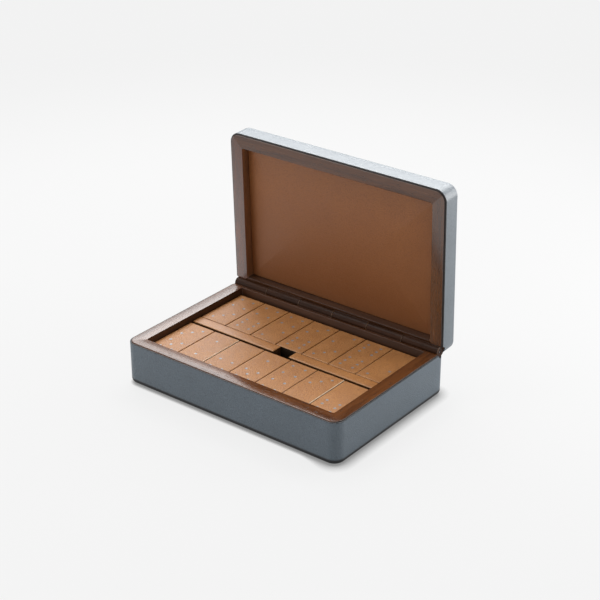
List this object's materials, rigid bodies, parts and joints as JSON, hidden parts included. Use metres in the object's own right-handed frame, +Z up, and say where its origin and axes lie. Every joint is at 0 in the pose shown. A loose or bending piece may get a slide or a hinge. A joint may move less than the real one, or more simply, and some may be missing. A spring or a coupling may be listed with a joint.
{
  "type": "domino storage box",
  "caption": "Leather-wrapped walnut case with a hinged lid on a wooden barrel hinge, holding a domino set in two rows either side of a split divider.",
  "frame": {"origin": "middle of the case's underside, on the surface that it stands on", "axes": "+X along the rows of dominoes and the hinge, +Y from the front towards the hinge, +Z up"},
  "size_m": [0.202, 0.1491, 0.1688],
  "materials": {
    "walnut": "satin oiled",
    "plywood": "raw",
    "slate_leather": "fine pebble grain, semi-matte",
    "tan_leather": "smooth, semi-matte",
    "domino_leather": "smooth, semi-matte, silver-grey pips",
    "suede": "napped",
    "steel": "drawn"
  },
  "bodies": {
    "case": {"base_front_rail": "walnut", "base_back_rail": "walnut", "base_left_rail": "walnut", "base_right_rail": "walnut", "floor_board": "plywood", "floor_lining": "suede", "base_leather": "slate_leather", "base_pad": "suede", "left_divider_core": "plywood", "left_divider_cover": "tan_leather", "right_divider_core": "plywood", "right_divider_cover": "tan_leather", "base_knuckles": "walnut", "hinge_pin": "steel"},
    "lid": {"lid_front_rail": "walnut", "lid_back_rail": "walnut", "lid_left_rail": "walnut", "lid_right_rail": "walnut", "lid_board": "plywood", "lid_lining": "tan_leather", "lid_leather": "slate_leather", "lid_knuckles": "walnut"},
    "domino_0_0": {"domino_0_0": "domino_leather"},
    "domino_0_1": {"domino_0_1": "domino_leather"},
    "domino_0_2": {"domino_0_2": "domino_leather"},
    "domino_0_3": {"domino_0_3": "domino_leather"},
    "domino_0_4": {"domino_0_4": "domino_leather"},
    "domino_0_5": {"domino_0_5": "domino_leather"},
    "domino_0_6": {"domino_0_6": "domino_leather"},
    "domino_1_1": {"domino_1_1": "domino_leather"},
    "domino_1_2": {"domino_1_2": "domino_leather"},
    "domino_1_3": {"domino_1_3": "domino_leather"},
    "domino_1_4": {"domino_1_4": "domino_leather"},
    "domino_1_5": {"domino_1_5": "domino_leather"},
    "domino_1_6": {"domino_1_6": "domino_leather"},
    "domino_2_2": {"domino_2_2": "domino_leather"},
    "domino_2_3": {"domino_2_3": "domino_leather"},
    "domino_2_4": {"domino_2_4": "domino_leather"},
    "domino_2_5": {"domino_2_5": "domino_leather"},
    "domino_2_6": {"domino_2_6": "domino_leather"},
    "domino_3_3": {"domino_3_3": "domino_leather"},
    "domino_3_4": {"domino_3_4": "domino_leather"},
    "domino_3_5": {"domino_3_5": "domino_leather"},
    "domino_3_6": {"domino_3_6": "domino_leather"},
    "domino_4_4": {"domino_4_4": "domino_leather"},
    "domino_4_5": {"domino_4_5": "domino_leather"},
    "domino_4_6": {"domino_4_6": "domino_leather"},
    "domino_5_5": {"domino_5_5": "domino_leather"},
    "domino_5_6": {"domino_5_6": "domino_leather"},
    "domino_6_6": {"domino_6_6": "domino_leather"}
  },
  "joints": [
    {"name": "lid_hinge", "type": "hinge", "parent": "case", "child": "lid", "pos_m": [0, 0.0632, 0.03655], "axis": [-1, 0, 0], "range_deg": [-88, 0]},
    {"name": "domino_0_0_lift", "type": "slide", "parent": "case", "child": "domino_0_0", "axis": [0, 0, 1], "range_m": [0, 0.03]},
    {"name": "domino_3_4_lift", "type": "slide", "parent": "domino_0_0", "child": "domino_3_4", "axis": [0, 0, 1], "range_m": [0, 0.03]},
    {"name": "domino_0_1_lift", "type": "slide", "parent": "case", "child": "domino_0_1", "axis": [0, 0, 1], "range_m": [0, 0.03]},
    {"name": "domino_4_6_lift", "type": "slide", "parent": "domino_0_1", "child": "domino_4_6", "axis": [0, 0, 1], "range_m": [0, 0.03]},
    {"name": "domino_0_5_lift", "type": "slide", "parent": "case", "child": "domino_0_5", "axis": [0, 0, 1], "range_m": [0, 0.03]},
    {"name": "domino_2_4_lift", "type": "slide", "parent": "domino_0_5", "child": "domino_2_4", "axis": [0, 0, 1], "range_m": [0, 0.03]},
    {"name": "domino_1_2_lift", "type": "slide", "parent": "case", "child": "domino_1_2", "axis": [0, 0, 1], "range_m": [0, 0.03]},
    {"name": "domino_3_6_lift", "type": "slide", "parent": "domino_1_2", "child": "domino_3_6", "axis": [0, 0, 1], "range_m": [0, 0.03]},
    {"name": "domino_1_3_lift", "type": "slide", "parent": "case", "child": "domino_1_3", "axis": [0, 0, 1], "range_m": [0, 0.03]},
    {"name": "domino_2_3_lift", "type": "slide", "parent": "domino_1_3", "child": "domino_2_3", "axis": [0, 0, 1], "range_m": [0, 0.03]},
    {"name": "domino_1_4_lift", "type": "slide", "parent": "case", "child": "domino_1_4", "axis": [0, 0, 1], "range_m": [0, 0.03]},
    {"name": "domino_6_6_lift", "type": "slide", "parent": "domino_1_4", "child": "domino_6_6", "axis": [0, 0, 1], "range_m": [0, 0.03]},
    {"name": "domino_1_6_lift", "type": "slide", "parent": "case", "child": "domino_1_6", "axis": [0, 0, 1], "range_m": [0, 0.03]},
    {"name": "domino_0_2_lift", "type": "slide", "parent": "domino_1_6", "child": "domino_0_2", "axis": [0, 0, 1], "range_m": [0, 0.03]},
    {"name": "domino_2_2_lift", "type": "slide", "parent": "case", "child": "domino_2_2", "axis": [0, 0, 1], "range_m": [0, 0.03]},
    {"name": "domino_3_5_lift", "type": "slide", "parent": "domino_2_2", "child": "domino_3_5", "axis": [0, 0, 1], "range_m": [0, 0.03]},
    {"name": "domino_2_5_lift", "type": "slide", "parent": "case", "child": "domino_2_5", "axis": [0, 0, 1], "range_m": [0, 0.03]},
    {"name": "domino_1_1_lift", "type": "slide", "parent": "domino_2_5", "child": "domino_1_1", "axis": [0, 0, 1], "range_m": [0, 0.03]},
    {"name": "domino_2_6_lift", "type": "slide", "parent": "case", "child": "domino_2_6", "axis": [0, 0, 1], "range_m": [0, 0.03]},
    {"name": "domino_0_4_lift", "type": "slide", "parent": "domino_2_6", "child": "domino_0_4", "axis": [0, 0, 1], "range_m": [0, 0.03]},
    {"name": "domino_3_3_lift", "type": "slide", "parent": "case", "child": "domino_3_3", "axis": [0, 0, 1], "range_m": [0, 0.03]},
    {"name": "domino_1_5_lift", "type": "slide", "parent": "domino_3_3", "child": "domino_1_5", "axis": [0, 0, 1], "range_m": [0, 0.03]},
    {"name": "domino_4_5_lift", "type": "slide", "parent": "case", "child": "domino_4_5", "axis": [0, 0, 1], "range_m": [0, 0.03]},
    {"name": "domino_4_4_lift", "type": "slide", "parent": "domino_4_5", "child": "domino_4_4", "axis": [0, 0, 1], "range_m": [0, 0.03]},
    {"name": "domino_5_5_lift", "type": "slide", "parent": "case", "child": "domino_5_5", "axis": [0, 0, 1], "range_m": [0, 0.03]},
    {"name": "domino_0_3_lift", "type": "slide", "parent": "domino_5_5", "child": "domino_0_3", "axis": [0, 0, 1], "range_m": [0, 0.03]},
    {"name": "domino_5_6_lift", "type": "slide", "parent": "case", "child": "domino_5_6", "axis": [0, 0, 1], "range_m": [0, 0.03]},
    {"name": "domino_0_6_lift", "type": "slide", "parent": "domino_5_6", "child": "domino_0_6", "axis": [0, 0, 1], "range_m": [0, 0.03]}
  ]
}
